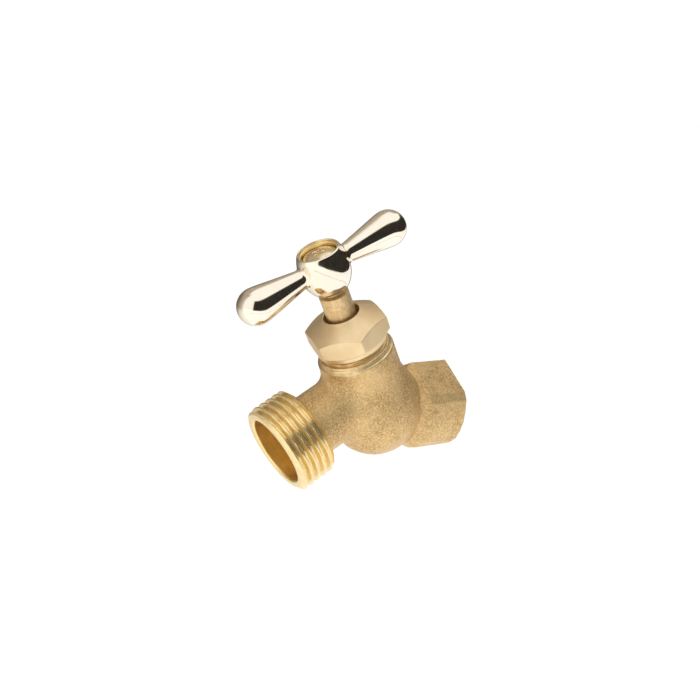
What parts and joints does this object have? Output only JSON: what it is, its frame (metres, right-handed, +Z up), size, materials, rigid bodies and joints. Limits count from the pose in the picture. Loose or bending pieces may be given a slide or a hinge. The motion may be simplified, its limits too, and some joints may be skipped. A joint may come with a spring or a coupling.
{
  "type": "hose bib",
  "caption": "Angled brass hose bib: female pipe inlet, globe seat under a leaning stem with a T-handle, and a male garden-hose outlet.",
  "frame": {"origin": "centre of the inlet's end face, on the inlet's axis", "axes": "+Y out of the inlet, along the supply pipe and into the wall; +Z up; the valve body's mirror plane is X = 0"},
  "size_m": [0.027, 0.0747, 0.0809],
  "materials": {
    "cast_brass": "sand-cast, grainy, satin",
    "turned_brass": "machined, satin",
    "plated_handle": "mirror polished, pale gold",
    "screw_brass": "bright",
    "graphite": "matte",
    "rubber": "matte"
  },
  "bodies": {
    "valve": {"valve_body": "cast_brass", "packing_nut": "turned_brass", "packing_washer": "turned_brass", "packing_ring": "graphite", "packing_gland": "turned_brass"},
    "washer_lift": {"seat_washer": "rubber"},
    "handle_and_stem": {"stem": "turned_brass", "seat_washer_screw": "turned_brass", "tee_handle": "plated_handle", "handle_screw": "screw_brass"}
  },
  "joints": [
    {"name": "stem_lift", "type": "slide", "parent": "valve", "child": "washer_lift", "axis": [0, -0.5, 0.866], "range_m": [0, 0.00508]},
    {"name": "handle_turn", "type": "hinge", "parent": "washer_lift", "child": "handle_and_stem", "pos_m": [0, -0.0251, 0], "axis": [0, -0.5, 0.866], "range_deg": [0, 720]}
  ],
  "couplings": [
    {"joint": "handle_turn", "follows": "stem_lift", "rad_per_m": 2473.7}
  ]
}
